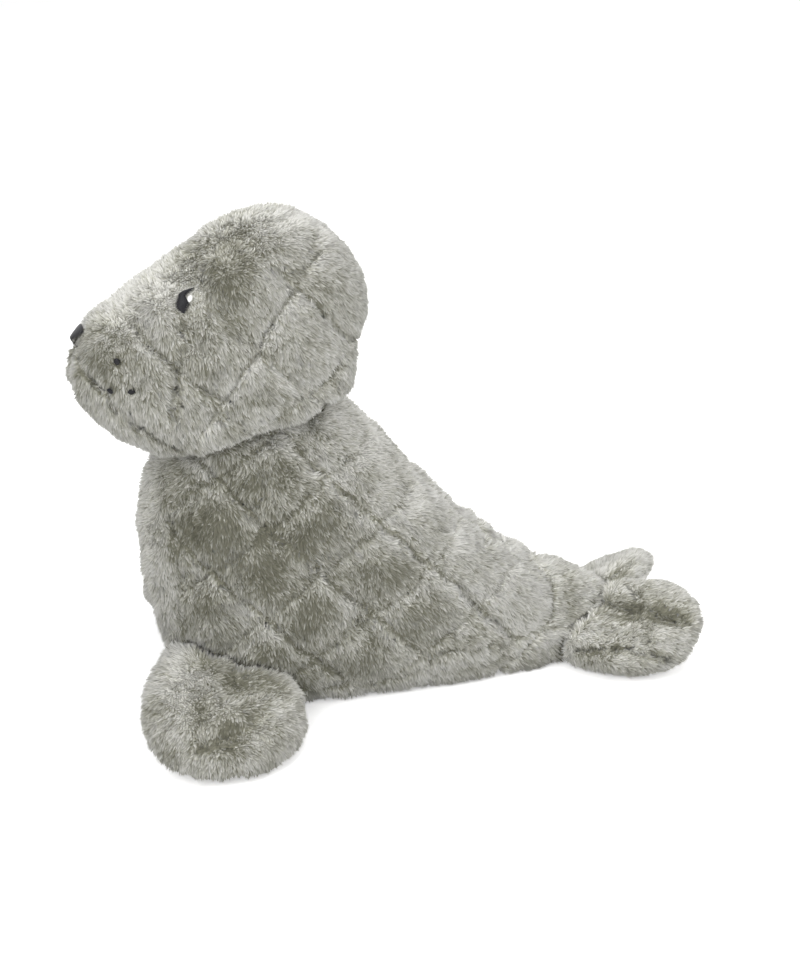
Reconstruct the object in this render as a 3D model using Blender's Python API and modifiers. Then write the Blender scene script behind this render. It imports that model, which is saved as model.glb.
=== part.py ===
"""A quilted plush seal toy for a dog, resting on its belly and its flippers.

Metres, +Z up. The origin is on the floor under the middle of the toy. The nose points to -X,
the toy's own left side is at -Y, and the stuffed skins are drawn at the middle of their pile.
"""
import math

import bmesh
import bpy
from mathutils import Matrix, Vector
from mathutils.bvhtree import BVHTree

# Sewn pieces that touch keep this gap
CLEARANCE = 0.0003

# A groove's depth where it is read as a share, from none to all
FULL = 1.0

# Torso, from the chest to the end of the tail stem, before the neck is cut off
TORSO_FRONT_X = -0.1165
TORSO_LENGTH = 0.220
TORSO_WIDTH = 0.086
SHOULDER_HEIGHT = 0.168
BELLY_SETTLE = 0.005

# The neck is one slanted seam around the top of the torso
NECK_SETBACK = 0.056
NECK_HEIGHT = 0.137
NECK_TILT = math.radians(12.0)

# Head, turned a little to its own left
HEAD_LENGTH = 0.1370
HEAD_WIDTH = 0.093
HEAD_HEIGHT = 0.124
HEAD_BACK_REACH = 0.0590
HEAD_CROWN_RISE = 0.0912
HEAD_TURN = math.radians(9.0)
MUZZLE_CLEFT_DEPTH = 0.005
MUZZLE_CLEFT_WIDTH = 0.006
MUZZLE_CLEFT_RUN = 0.047
MUZZLE_CLEFT_RISE = 0.5
HEAD_MIDDLE_STRIP = 0.014

# Quilting: two families of straight stitched lines, the same on both side panels. A line is
# placed by one point of it: on the torso from the chest and floor, on the head from its origin
QUILT_DEPTH = 0.0034
QUILT_GROOVE = 0.0058
TORSO_QUILT_FALL = math.radians(-48.4)
TORSO_QUILT_FALL_PITCH = 0.0335
TORSO_QUILT_FALL_THROUGH = (0.0819, 0.0681)
TORSO_QUILT_RISE = math.radians(33.0)
TORSO_QUILT_RISE_PITCH = 0.0315
TORSO_QUILT_RISE_THROUGH = (0.1028, 0.0825)
SPINE_STRIP = 0.011
HEAD_QUILT_FALL = math.radians(-49.0)
HEAD_QUILT_FALL_PITCH = 0.030
HEAD_QUILT_FALL_THROUGH = (0.0113, 0.0285)

# The head's rising lines fan out from a point under the chin
HEAD_FAN_CENTER = (-0.0526, -0.0205)
HEAD_FAN_FIRST = math.radians(27.5)
HEAD_FAN_STEP = math.radians(21.0)
HEAD_FAN_FADE = (0.025, 0.045)

# Seams that frame the quilted side panels of the torso
SEAM_DEPTH = 0.0035
SEAM_GROOVE = 0.0045
CHEST_SEAM_SETBACK = 0.016
BELLY_SEAM_HEIGHT = 0.008
RUMP_SEAM_SETBACK = 0.189

# Front flippers
FLIPPER_LENGTH = 0.090
FLIPPER_WIDTH = 0.075
FLIPPER_THICKNESS = 0.028
FLIPPER_DISH = 0.008
FLIPPER_SETBACK = 0.0298
FLIPPER_REACH = 0.0580
FLIPPER_DROOP = math.radians(19.0)
FLIPPER_TWIST = math.radians(20.0)
FLIPPER_SWEEP = math.radians(1.0)

# Tail flippers
TAIL_LENGTHS = (0.077, 0.0565)
TAIL_WIDTH = 0.055
TAIL_THICKNESS = 0.024
TAIL_DISH = 0.008
TAIL_OVERHANG = 0.002
TAIL_SPLAYS = (math.radians(25.0), math.radians(38.0))
TAIL_SPREAD = 0.0270
TAIL_LEAN = math.radians(30.0)
TAIL_LIFTS = (math.radians(8.0), math.radians(5.0))

# Embroidery on the head, placed behind the muzzle's front and above the head's origin
EYE_SIZE = (0.0085, 0.0115)
EYE_LEAN = math.radians(-44.0)
EYE_PLACE = (0.0525, 0.0618)
EYE_TAPER = 0.25
EYE_GLINT_SIZE = 0.0022
EYE_GLINT_PLACE = (0.0008, 0.0016)
NOSE_SIZE = (0.0262, 0.0118)
NOSE_TAPER = 0.45
NOSE_PLACE = (0.0088, 0.0440)
WHISKER_STITCH = 0.0030
WHISKER_PLACES = ((0.0198, 0.0398), (0.0154, 0.0274), (0.0238, 0.0269))
THREAD_RISE = 0.0012

COLLECTION_NAME = "plush_seal_toy"
CUTTER_COLLECTION_NAME = "cutters"

# Stations along the torso: share of its length, then low edge and top as shares of the
# shoulder height, and half width as a share of half of the torso's width
TORSO_STATIONS = (
    (0.000, 0.410, 0.520, 0.26),
    (0.020, 0.235, 0.640, 0.61),
    (0.070, 0.070, 0.775, 0.82),
    (0.150, 0.000, 0.940, 0.98),
    (0.272, 0.000, 0.995, 1.02),
    (0.385, 0.000, 0.930, 1.01),
    (0.486, 0.000, 0.780, 0.97),
    (0.584, 0.000, 0.622, 0.92),
    (0.672, 0.000, 0.472, 0.84),
    (0.753, 0.000, 0.386, 0.78),
    (0.826, 0.003, 0.328, 0.72),
    (0.886, 0.015, 0.280, 0.58),
    (0.930, 0.040, 0.243, 0.42),
    (1.000, 0.065, 0.205, 0.25),
)

# Stations along the head, from the back of the skull to the muzzle: share of its length,
# then low edge and top as shares of its height, and half width as a share of half its width
HEAD_STATIONS = (
    (0.000, 0.580, 0.690, 0.22),
    (0.035, 0.515, 0.825, 0.54),
    (0.130, 0.295, 0.945, 0.80),
    (0.270, 0.020, 1.000, 0.98),
    (0.430, -0.010, 0.990, 1.02),
    (0.580, 0.020, 0.895, 0.97),
    (0.710, 0.155, 0.800, 0.87),
    (0.820, 0.240, 0.742, 0.77),
    (0.915, 0.305, 0.672, 0.65),
    (0.975, 0.385, 0.620, 0.49),
    (1.000, 0.435, 0.570, 0.29),
)

RING_POINTS = 12
CROWN_POWER = 2.4
BELLY_POWER = 4.2
PEAR_SHARE = 0.11

# The paddles' form: how boxy the rim is, how far the dish spreads, how much the root narrows
# and the tip widens
RIM_POWER = 0.8
DISH_SPAN = 0.5
PADDLE_TAPER = 0.20
PADDLE_FLARE = 0.13
PADDLE_SETTLE = 0.0015


def make_collection(name):
    """A collection linked to the scene."""
    collection = bpy.data.collections.new(name)
    bpy.context.scene.collection.children.link(collection)
    return collection


def make_material(name, color, roughness):
    """A plain Principled finish, none of them metal."""
    material = bpy.data.materials.new(name)
    material.use_nodes = True
    shader = material.node_tree.nodes["Principled BSDF"]
    shader.inputs["Base Color"].default_value = (*color, 1.0)
    shader.inputs["Roughness"].default_value = roughness
    shader.inputs["Metallic"].default_value = 0.0
    return material


def make_object(name, mesh, collection, material=None):
    """An object for a finished mesh, shaded smooth."""
    mesh.shade_smooth()
    if material is not None:
        mesh.materials.clear()
        mesh.materials.append(material)
    made = bpy.data.objects.new(name, mesh)
    collection.objects.link(made)
    return made


def ring_point(turn, low, high, half_width):
    """A point of one rounded section, as offsets in Y and Z, fuller below than above."""
    swell = 3.0 / (2.0 + math.cos(2.0 * math.pi / RING_POINTS))
    power = CROWN_POWER if math.cos(turn) > 0.0 else BELLY_POWER
    side = math.copysign(abs(math.sin(turn)) ** (2.0 / power), math.sin(turn))
    rise = math.copysign(abs(math.cos(turn)) ** (2.0 / power), math.cos(turn))
    y = half_width * side * (1.0 - PEAR_SHARE * rise) * swell
    z = 0.5 * (low + high) + 0.5 * (high - low) * rise * swell
    return y, z


def section_cage(stations, place):
    """A closed cage lofted through the stations; place turns (share, y, z) into a point."""
    cage = bmesh.new()
    rings = []
    for share, low, high, half_width in stations:
        ring = []
        for index in range(RING_POINTS):
            y, z = ring_point(2.0 * math.pi * index / RING_POINTS, low, high, half_width)
            ring.append(cage.verts.new(place(share, y, z)))
        rings.append(ring)
    for ring, following in zip(rings, rings[1:]):
        for index in range(RING_POINTS):
            after = (index + 1) % RING_POINTS
            cage.faces.new((ring[index], ring[after], following[after], following[index]))
    cage.faces.new(reversed(rings[0]))
    cage.faces.new(rings[-1])
    bmesh.ops.recalc_face_normals(cage, faces=cage.faces)
    return cage


def subdivided(cage, name, levels):
    """The cage after Subdivision Surface, as a new bmesh."""
    mesh = bpy.data.meshes.new(name)
    cage.to_mesh(mesh)
    cage.free()
    holder = bpy.data.objects.new(name, mesh)
    bpy.context.scene.collection.objects.link(holder)
    modifier = holder.modifiers.new("Soft form", "SUBSURF")
    modifier.levels = levels
    modifier.render_levels = levels
    fine = bmesh.new()
    fine.from_object(holder, bpy.context.evaluated_depsgraph_get())
    bpy.data.objects.remove(holder)
    bpy.data.meshes.remove(mesh)
    bmesh.ops.recalc_face_normals(fine, faces=fine.faces)
    fine.normal_update()
    return fine


def groove(distance, width, depth):
    """Depth of a stitched groove at a distance from its line."""
    return depth * math.exp(-(distance / width) ** 2)


def line_distance(along, up, origin, angle, pitch):
    """Distance to the nearest of a family of parallel lines in a side view."""
    across = (up - origin[1]) * math.cos(angle) - (along - origin[0]) * math.sin(angle)
    return abs(across - pitch * round(across / pitch))


def fan_distance(along, up):
    """Distance to the nearest of the head's rising lines, and how far the fan has opened."""
    reach = math.hypot(along - HEAD_FAN_CENTER[0], up - HEAD_FAN_CENTER[1])
    angle = math.atan2(up - HEAD_FAN_CENTER[1], along - HEAD_FAN_CENTER[0]) - HEAD_FAN_FIRST
    turn = angle - HEAD_FAN_STEP * round(angle / HEAD_FAN_STEP)
    near, far = HEAD_FAN_FADE
    opened = min(1.0, max(0.0, (reach - near) / (far - near)))
    return reach * abs(math.sin(turn)), opened


def torso_sink(point):
    """How far seams and quilting pull the torso's skin in."""
    behind = point.x - TORSO_FRONT_X
    to_edge = min(
        behind - CHEST_SEAM_SETBACK, RUMP_SEAM_SETBACK - behind, point.z - BELLY_SEAM_HEIGHT)
    sink = groove(to_edge, SEAM_GROOVE, SEAM_DEPTH)
    if to_edge > 0.0:
        falling = line_distance(
            behind, point.z, TORSO_QUILT_FALL_THROUGH, TORSO_QUILT_FALL, TORSO_QUILT_FALL_PITCH)
        rising = line_distance(
            behind, point.z, TORSO_QUILT_RISE_THROUGH, TORSO_QUILT_RISE, TORSO_QUILT_RISE_PITCH)
        quilting = groove(min(falling, rising), QUILT_GROOVE, QUILT_DEPTH)
        spine = groove(point.y, SEAM_GROOVE, SEAM_DEPTH) if behind > NECK_SETBACK else 0.0
        quilting *= 1.0 - groove(point.y, SPINE_STRIP, FULL)
        sink = max(sink, quilting, spine)
    return sink


def muzzle_front():
    """The front of the muzzle, from the head's origin along its own X."""
    return HEAD_BACK_REACH - HEAD_LENGTH


def head_sink(local):
    """How far seams and quilting pull the head's skin in, in the head's own frame."""
    falling = line_distance(
        local.x, local.z, HEAD_QUILT_FALL_THROUGH, HEAD_QUILT_FALL, HEAD_QUILT_FALL_PITCH)
    rising, opened = fan_distance(local.x, local.z)
    quilting = max(
        groove(falling, QUILT_GROOVE, QUILT_DEPTH),
        groove(rising, QUILT_GROOVE, QUILT_DEPTH * opened))
    nearness = max(0.0, 1.0 - (local.x - muzzle_front()) / MUZZLE_CLEFT_RUN)
    deepness = MUZZLE_CLEFT_DEPTH * min(1.0, nearness / MUZZLE_CLEFT_RISE)
    cleft = groove(local.y, MUZZLE_CLEFT_WIDTH, deepness) if local.z < NOSE_PLACE[1] else 0.0
    quilting *= 1.0 - groove(local.y, HEAD_MIDDLE_STRIP, FULL)
    return max(quilting, cleft)


def neck_middle():
    """The middle of the neck seam, where the head sits."""
    return Vector((TORSO_FRONT_X + NECK_SETBACK, 0.0, NECK_HEIGHT))


def neck_plane(lift):
    """A point on the neck seam's plane, lifted along its normal, and that normal."""
    normal = Vector((-math.sin(NECK_TILT), 0.0, math.cos(NECK_TILT)))
    return neck_middle() + normal * lift, normal


def cut_flat(shape, point, normal):
    """Cuts off what lies on the normal's side of a plane and closes the cut."""
    everything = shape.verts[:] + shape.edges[:] + shape.faces[:]
    bmesh.ops.bisect_plane(
        shape, geom=everything, dist=1e-6, plane_co=point, plane_no=normal, clear_outer=True)
    rim = [edge for edge in shape.edges if edge.is_boundary]
    bmesh.ops.contextual_create(shape, geom=rim)
    bmesh.ops.recalc_face_normals(shape, faces=shape.faces)


def torso_shape(grow):
    """The torso's skin, grown by a clearance where it is used as a cutter."""
    def place(share, y, z):
        height = z * (SHOULDER_HEIGHT + BELLY_SETTLE) - BELLY_SETTLE
        return TORSO_FRONT_X + share * TORSO_LENGTH, y * 0.5 * TORSO_WIDTH, height

    shape = subdivided(section_cage(TORSO_STATIONS, place), "torso_cage", 2)
    moves = [(vert, vert.normal * (grow - torso_sink(vert.co))) for vert in shape.verts]
    for vert, move in moves:
        vert.co += move
        vert.co.z = max(vert.co.z, -grow)
    if grow == 0.0:
        cut_flat(shape, *neck_plane(0.0))
    return shape


def head_frame():
    """The head's own frame: origin on the neck seam's middle, turned about the upright."""
    return Matrix.Translation(neck_middle()) @ Matrix.Rotation(HEAD_TURN, 4, "Z")


def head_shape(grow):
    """The head's skin in world space, grown by a clearance where it is used as a cutter."""
    def place(share, y, z):
        x = HEAD_BACK_REACH - share * HEAD_LENGTH
        return x, y * 0.5 * HEAD_WIDTH, HEAD_CROWN_RISE + (z - 1.0) * HEAD_HEIGHT

    shape = subdivided(section_cage(HEAD_STATIONS, place), "head_cage", 2)
    moves = [(vert, vert.normal * (grow - head_sink(vert.co))) for vert in shape.verts]
    for vert, move in moves:
        vert.co += move
    bmesh.ops.transform(shape, matrix=head_frame(), verts=shape.verts)
    if grow == 0.0:
        point, normal = neck_plane(CLEARANCE)
        cut_flat(shape, point, -normal)
    return shape


def finished_mesh(shape, name):
    """A mesh datablock of triangles from a bmesh, which is freed."""
    bmesh.ops.triangulate(shape, faces=shape.faces)
    mesh = bpy.data.meshes.new(name)
    shape.to_mesh(mesh)
    shape.free()
    return mesh


def paddle_shape(length, width, thickness, dish):
    """A stuffed paddle along +X from the origin, with a puffy rim around a dished middle."""
    shape = bmesh.new()
    bmesh.ops.create_uvsphere(shape, u_segments=12, v_segments=6, radius=1.0)
    for vert in shape.verts:
        flare = PADDLE_FLARE * max(0.0, vert.co.x)
        vert.co.y *= 1.0 + flare - PADDLE_TAPER * max(0.0, -vert.co.x)
        vert.co.z = math.copysign(abs(vert.co.z) ** RIM_POWER, vert.co.z)
    fine = subdivided(shape, "paddle_cage", 1)
    half = [max(abs(vert.co[axis]) for vert in fine.verts) for axis in range(3)]
    for vert in fine.verts:
        x, y, z = (vert.co[axis] / half[axis] for axis in range(3))
        sunk = dish * math.exp(-(math.hypot(x, y) / DISH_SPAN) ** 2) if z > 0.0 else 0.0
        vert.co = (0.5 * length * (1.0 + x), 0.5 * width * y, 0.5 * thickness * z - sunk)
    return fine


def twist_paddle(shape, length, angle):
    """Turns a paddle about its own length, fully at the root and not at all at the tip."""
    for vert in shape.verts:
        share = 1.0 - vert.co.x / length
        vert.co = Matrix.Rotation(angle * share, 3, "X") @ vert.co


def seat_paddle(shape, matrix):
    """Turns a paddle into place and lets it settle on the floor with a small flat patch."""
    bmesh.ops.transform(shape, matrix=matrix, verts=shape.verts)
    lowest = min(vert.co.z for vert in shape.verts)
    for vert in shape.verts:
        vert.co.z = max(0.0, vert.co.z - lowest - PADDLE_SETTLE)


def cut_by(made, cutter):
    """Cuts an object with a closed cutter, exactly, and applies the cut."""
    modifier = made.modifiers.new("Seat", "BOOLEAN")
    modifier.operation = "DIFFERENCE"
    modifier.object = cutter
    modifier.solver = "EXACT"
    cut = bpy.data.meshes.new_from_object(
        made.evaluated_get(bpy.context.evaluated_depsgraph_get()))
    made.modifiers.clear()
    made.data = cut
    shape = bmesh.new()
    shape.from_mesh(cut)
    bmesh.ops.dissolve_degenerate(shape, dist=1e-5, edges=shape.edges)
    bmesh.ops.triangulate(shape, faces=shape.faces)
    shape.to_mesh(cut)
    shape.free()


def make_cutter(name, shape, cutters):
    """A hidden object that other pieces are cut by."""
    made = make_object(name, finished_mesh(shape, name), cutters)
    made.hide_render = True
    made.display_type = "WIRE"
    return made


def make_front_flippers(collection, material, torso_cutter):
    """The two front paddles, lying on the floor and reaching out sideways from the chest."""
    root_x = TORSO_FRONT_X + FLIPPER_SETBACK
    tip_y = 0.5 * TORSO_WIDTH + FLIPPER_REACH
    for name, side in (("front_flipper_left", -1.0), ("front_flipper_right", 1.0)):
        shape = paddle_shape(FLIPPER_LENGTH, FLIPPER_WIDTH, FLIPPER_THICKNESS, FLIPPER_DISH)
        twist_paddle(shape, FLIPPER_LENGTH, side * FLIPPER_TWIST)
        turn = Matrix.Rotation(side * (math.radians(90.0) - FLIPPER_SWEEP), 4, "Z")
        droop = Matrix.Rotation(FLIPPER_DROOP, 4, "Y")
        run = FLIPPER_LENGTH * math.cos(FLIPPER_DROOP)
        seat = Matrix.Translation((root_x, side * (tip_y - run), 0.0))
        seat_paddle(shape, seat @ turn @ droop)
        made = make_object(name, finished_mesh(shape, name), collection, material)
        cut_by(made, torso_cutter)


def make_tail_flippers(collection, material, torso_cutter):
    """The two tail paddles, fanned out to both sides of the tail stem, the left one longer."""
    stem_end = TORSO_FRONT_X + TORSO_LENGTH
    names = ("tail_flipper_left", "tail_flipper_right")
    hands = zip(names, (-1.0, 1.0), TAIL_LENGTHS, TAIL_SPLAYS, TAIL_LIFTS)
    for name, side, length, splay, raised in hands:
        shape = paddle_shape(length, TAIL_WIDTH, TAIL_THICKNESS, TAIL_DISH)
        turn = Matrix.Rotation(side * splay, 4, "Z")
        center = Vector((stem_end + TAIL_OVERHANG, side * TAIL_SPREAD, 0.0))
        lift = Matrix.Rotation(-raised, 4, "Y")
        lean = Matrix.Rotation(-side * TAIL_LEAN, 4, "X")
        middle = Matrix.Translation((-0.5 * length, 0.0, 0.0))
        seat_paddle(shape, Matrix.Translation(center) @ turn @ lift @ lean @ middle)
        made = make_object(name, finished_mesh(shape, name), collection, material)
        cut_by(made, torso_cutter)


def surface_seat(tree, start, direction):
    """Where a ray meets the head, as a frame whose +Z leaves the skin and +Y points up it."""
    point, normal, _face, _distance = tree.ray_cast(start, direction)
    up = Vector((0.0, 0.0, 1.0))
    across = up.cross(normal).normalized()
    rise = normal.cross(across)
    return Matrix.Translation(point) @ Matrix((across, rise, normal)).transposed().to_4x4()


def drape(shape, tree, matrix):
    """Bends a pad built flat about the origin over the head, keeping each point's height."""
    outward = matrix.to_3x3() @ Vector((0.0, 0.0, 1.0))
    for vert in shape.verts:
        flat = matrix @ Vector((vert.co.x, vert.co.y, 0.0))
        skin = tree.ray_cast(flat + outward * HEAD_WIDTH, -outward)[0]
        vert.co = skin + outward * vert.co.z


def stitched_pad(
        name, matrix, size, collection, material, head_cutter, tree, taper=0.0, sides=14):
    """A domed patch of satin stitch, following the head's skin."""
    shape = bmesh.new()
    bmesh.ops.create_uvsphere(shape, u_segments=sides, v_segments=6, radius=1.0)
    for vert in shape.verts:
        narrow = 1.0 + taper * vert.co.y
        vert.co.x *= 0.5 * size[0] * narrow
        vert.co.y *= 0.5 * size[1]
        vert.co.z *= THREAD_RISE + CLEARANCE
    drape(shape, tree, matrix)
    made = make_object(name, finished_mesh(shape, name), collection, material)
    cut_by(made, head_cutter)
    return made


def make_embroidery(collection, cutters, thread, glint, head_cutter):
    """Eyes with a white glint, the nose patch and three whisker stitches on each cheek."""
    shape = bmesh.new()
    shape.from_mesh(head_cutter.data)
    tree = BVHTree.FromBMesh(shape)
    shape.free()
    frame = head_frame()
    turned = frame.to_3x3()

    def side_seat(place, side):
        start = frame @ Vector((muzzle_front() + place[0], side * HEAD_WIDTH, place[1]))
        return surface_seat(tree, start, turned @ Vector((0.0, -side, 0.0)))

    for hand, side in (("left", -1.0), ("right", 1.0)):
        lean = Matrix.Rotation(side * -EYE_LEAN, 4, "Z")
        seat = side_seat(EYE_PLACE, side) @ lean
        spot = Matrix.Translation((-side * EYE_GLINT_PLACE[0], EYE_GLINT_PLACE[1], 0.0))
        eye = stitched_pad(
            "eye_stitching_" + hand, seat, EYE_SIZE, collection, thread, head_cutter, tree,
            EYE_TAPER)
        lifted = Matrix.Translation((0.0, 0.0, THREAD_RISE))
        shape = bmesh.new()
        bmesh.ops.create_uvsphere(shape, u_segments=8, v_segments=5, radius=1.0)
        half = 0.5 * EYE_GLINT_SIZE
        scale = Matrix.Diagonal((half, half, THREAD_RISE, 1.0))
        bmesh.ops.transform(shape, matrix=seat @ spot @ lifted @ scale, verts=shape.verts)
        glint_name = "eye_glint_" + hand
        made = make_object(glint_name, finished_mesh(shape, glint_name), collection, glint)
        cut_by(made, grown_copy(eye, cutters))
        for number, place in enumerate(WHISKER_PLACES, start=1):
            stitched_pad(
                f"whisker_stitch_{hand}_{number}", side_seat(place, side),
                (WHISKER_STITCH, WHISKER_STITCH), collection, thread, head_cutter, tree, sides=8)

    inward = Vector((1.0, 0.0, -1.0)).normalized()
    start = Vector((muzzle_front() + NOSE_PLACE[0], 0.0, NOSE_PLACE[1])) - inward * HEAD_HEIGHT
    seat = surface_seat(tree, frame @ start, turned @ inward)
    stitched_pad(
        "nose_stitching", seat, NOSE_SIZE, collection, thread, head_cutter, tree, NOSE_TAPER)


def grown_copy(made, cutters):
    """A copy of a small piece, grown by the clearance, to cut its neighbour with."""
    shape = bmesh.new()
    shape.from_mesh(made.data)
    bmesh.ops.remove_doubles(shape, verts=shape.verts, dist=1e-6)
    shape.normal_update()
    moves = [(vert, vert.normal * CLEARANCE) for vert in shape.verts]
    for vert, move in moves:
        vert.co += move
    return make_cutter("cutter_" + made.name, shape, cutters)


def main():
    """Clears the scene and builds the toy."""
    for old in list(bpy.data.objects):
        bpy.data.objects.remove(old)
    collection = make_collection(COLLECTION_NAME)
    cutters = make_collection(CUTTER_COLLECTION_NAME)

    plush = make_material("grey plush", (0.36, 0.36, 0.31), 0.95)
    thread = make_material("black thread", (0.012, 0.012, 0.014), 0.45)
    glint = make_material("white thread", (0.80, 0.80, 0.78), 0.5)

    torso_cutter = make_cutter("cutter_torso", torso_shape(CLEARANCE), cutters)
    head_cutter = make_cutter("cutter_head", head_shape(CLEARANCE), cutters)

    make_object("torso", finished_mesh(torso_shape(0.0), "torso"), collection, plush)
    make_object("head", finished_mesh(head_shape(0.0), "head"), collection, plush)
    make_front_flippers(collection, plush, torso_cutter)
    make_tail_flippers(collection, plush, torso_cutter)
    make_embroidery(collection, cutters, thread, glint, head_cutter)


main()
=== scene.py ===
"""A quilted plush seal toy for a dog: sewn skins of soft pile, and an embroidered face."""
import math
import random

import bmesh
import bpy
from mathutils import Matrix, Vector, noise
from mathutils.bvhtree import BVHTree


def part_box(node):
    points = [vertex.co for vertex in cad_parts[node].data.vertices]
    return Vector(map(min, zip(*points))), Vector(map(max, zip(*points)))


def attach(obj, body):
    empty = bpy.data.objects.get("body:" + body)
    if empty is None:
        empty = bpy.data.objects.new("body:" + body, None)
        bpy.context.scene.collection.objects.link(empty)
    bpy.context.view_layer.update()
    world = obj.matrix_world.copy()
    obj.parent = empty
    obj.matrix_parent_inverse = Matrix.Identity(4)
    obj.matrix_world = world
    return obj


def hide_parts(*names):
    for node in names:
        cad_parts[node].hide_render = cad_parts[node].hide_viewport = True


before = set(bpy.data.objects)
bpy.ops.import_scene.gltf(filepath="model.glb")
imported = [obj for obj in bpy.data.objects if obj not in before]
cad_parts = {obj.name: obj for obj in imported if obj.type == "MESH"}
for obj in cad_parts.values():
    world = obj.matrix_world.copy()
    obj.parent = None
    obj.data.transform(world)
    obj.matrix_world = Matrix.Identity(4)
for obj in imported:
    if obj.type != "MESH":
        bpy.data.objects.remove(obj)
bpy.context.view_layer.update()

MM = 0.001


# Camera
# The toy stands side on, seen from a little above and turned slightly in the frame.
# The focal length and the frame's width are in pixels of the 800 x 977 picture.
PICTURE_WIDTH = 800.0
FOCAL_LENGTH = 1810.5
SENSOR_WIDTH = 36.0
VIEW_AZIMUTH = math.radians(-5.0)
VIEW_ELEVATION = math.radians(22.0)
VIEW_ROLL = math.radians(4.5)
VIEW_DISTANCE = 850.0 * MM
LOOKS_AT = Vector((6.5, 0.0, 89.0)) * MM

lens = bpy.data.cameras.new("camera")
lens.sensor_fit = "HORIZONTAL"
lens.sensor_width = SENSOR_WIDTH
lens.lens = FOCAL_LENGTH / PICTURE_WIDTH * SENSOR_WIDTH
camera = bpy.data.objects.new("camera", lens)
bpy.context.scene.collection.objects.link(camera)
turn = Matrix.Rotation(VIEW_AZIMUTH, 4, "Z")
rise = Matrix.Rotation(math.radians(90.0) - VIEW_ELEVATION, 4, "X")
back = Matrix.Translation((0.0, 0.0, VIEW_DISTANCE))
roll = Matrix.Rotation(-VIEW_ROLL, 4, "Z")
camera.matrix_world = Matrix.Translation(LOOKS_AT) @ turn @ rise @ back @ roll
bpy.context.scene.camera = camera


# Torso
# One bag of short-pile polyester plush, quilted through to its lining on both side panels and
# stuffed with fibre. The stitched lines hold the skin down, and the stuffing swells between.
# Where a seam or a quilted row has a grip, that is how firmly it holds, from 0 to 1.
TORSO_FRONT_X = -116.5 * MM
CHEST_SEAM_SETBACK = 16.0 * MM
CHEST_SEAM_GRIP = 0.3
RUMP_SEAM_SETBACK = 189.0 * MM
RUMP_SEAM_MIDDLE = 34.0 * MM
RUMP_SEAM_ROUND = 29.0 * MM
RUMP_SEAM_GRIP = 0.9
BELLY_SEAM_GRIP = 0.8
BELLY_SEAM_HEIGHT = 8.5 * MM
BELLY_SEAM_LIFT = (112.0 * MM, 135.0 * MM, 10.5 * MM)
NECK_SETBACK = 56.0 * MM
SPINE_STRIP = 11.0 * MM
TAIL_GUSSET = (160.0 * MM, 182.0 * MM, 13.0 * MM)
BACK_SEAM_GRIP = 0.6
TORSO_FALL = (81.9 * MM, 68.1 * MM, math.radians(-48.4), 33.5 * MM)
TORSO_RISE = (102.8 * MM, 82.5 * MM, math.radians(33.0), 31.5 * MM)
RISE_GRIP = 0.6
CREASE_DEPTH = 2.1 * MM
CREASE_WIDTH = 2.2 * MM
STITCH_WANDERS = (12.0 * MM, 2.4 * MM)
STITCH_HOLD = (2.0 * MM, 6.0 * MM)
SEAM_HOLD = (2.0 * MM, 6.0 * MM)
FLOOR_HOLD = (0.5 * MM, 3.0 * MM)
BACKING_CELL = 4.6 * MM
STUFFING_FRAMES = 16
STUFFING_PRESSURE = 4.0
TORSO_SWELL = 1.6 * MM
TORSO_LUMPS = 1.0 * MM
TORSO_PILE = 3.7 * MM
SEWN = ("torso", "head", "front_flipper_left", "front_flipper_right",
        "tail_flipper_left", "tail_flipper_right")


def merged(node):
    """A bmesh copy of a node of the frame, with its loose triangles joined."""
    shape = bmesh.new()
    shape.from_mesh(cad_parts[node].data)
    bmesh.ops.remove_doubles(shape, verts=shape.verts[:], dist=0.01 * MM)
    return shape


def tree_of(nodes):
    """A search tree over all of the faces of some nodes of the frame."""
    joined = bmesh.new()
    for node in nodes:
        joined.from_mesh(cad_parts[node].data)
    tree = BVHTree.FromBMesh(joined)
    joined.free()
    return tree


def smoothstep(value, low, high):
    """0 below low, 1 above high, and a soft step between."""
    share = min(1.0, max(0.0, (value - low) / (high - low)))
    return share * share * (3.0 - 2.0 * share)


def row_of_lines(along, up, row):
    """Signed distance to the nearest of a row of straight stitched lines, and the way off it."""
    along_through, up_through, slope, pitch = row
    across = (up - up_through) * math.cos(slope) - (along - along_through) * math.sin(slope)
    return across - pitch * round(across / pitch), Vector((-math.sin(slope), 0.0, math.cos(slope)))


def wandering(point):
    """The place a little way off where a line is looked for, so that no line runs dead straight."""
    length, much = STITCH_WANDERS
    return point + noise.noise_vector(point / length) * much


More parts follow.
